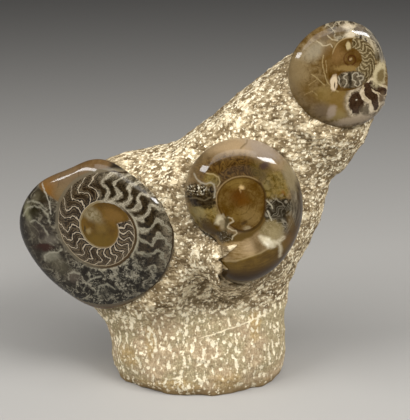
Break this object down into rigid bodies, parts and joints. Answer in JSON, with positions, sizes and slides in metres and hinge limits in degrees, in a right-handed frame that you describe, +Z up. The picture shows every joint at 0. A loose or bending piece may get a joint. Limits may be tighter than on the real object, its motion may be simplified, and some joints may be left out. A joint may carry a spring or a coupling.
{
  "type": "polished ammonite block",
  "caption": "Free-standing chiselled limestone block with polished ammonites set in its front face, for display.",
  "frame": {"origin": "on the sawn underside, at the middle of the foot", "axes": "+Z up, -Y towards the front with the ammonites, +X to the right as seen from the front"},
  "size_m": [0.2999, 0.1207, 0.3143],
  "materials": {
    "limestone": "matte",
    "left_ammonite_calcite": "polished",
    "middle_ammonite_calcite": "polished",
    "top_ammonite_calcite": "polished"
  },
  "bodies": {
    "root": {"limestone_matrix": "limestone", "left_ammonite": "left_ammonite_calcite", "middle_ammonite": "middle_ammonite_calcite", "top_ammonite": "top_ammonite_calcite"}
  },
  "joints": []
}
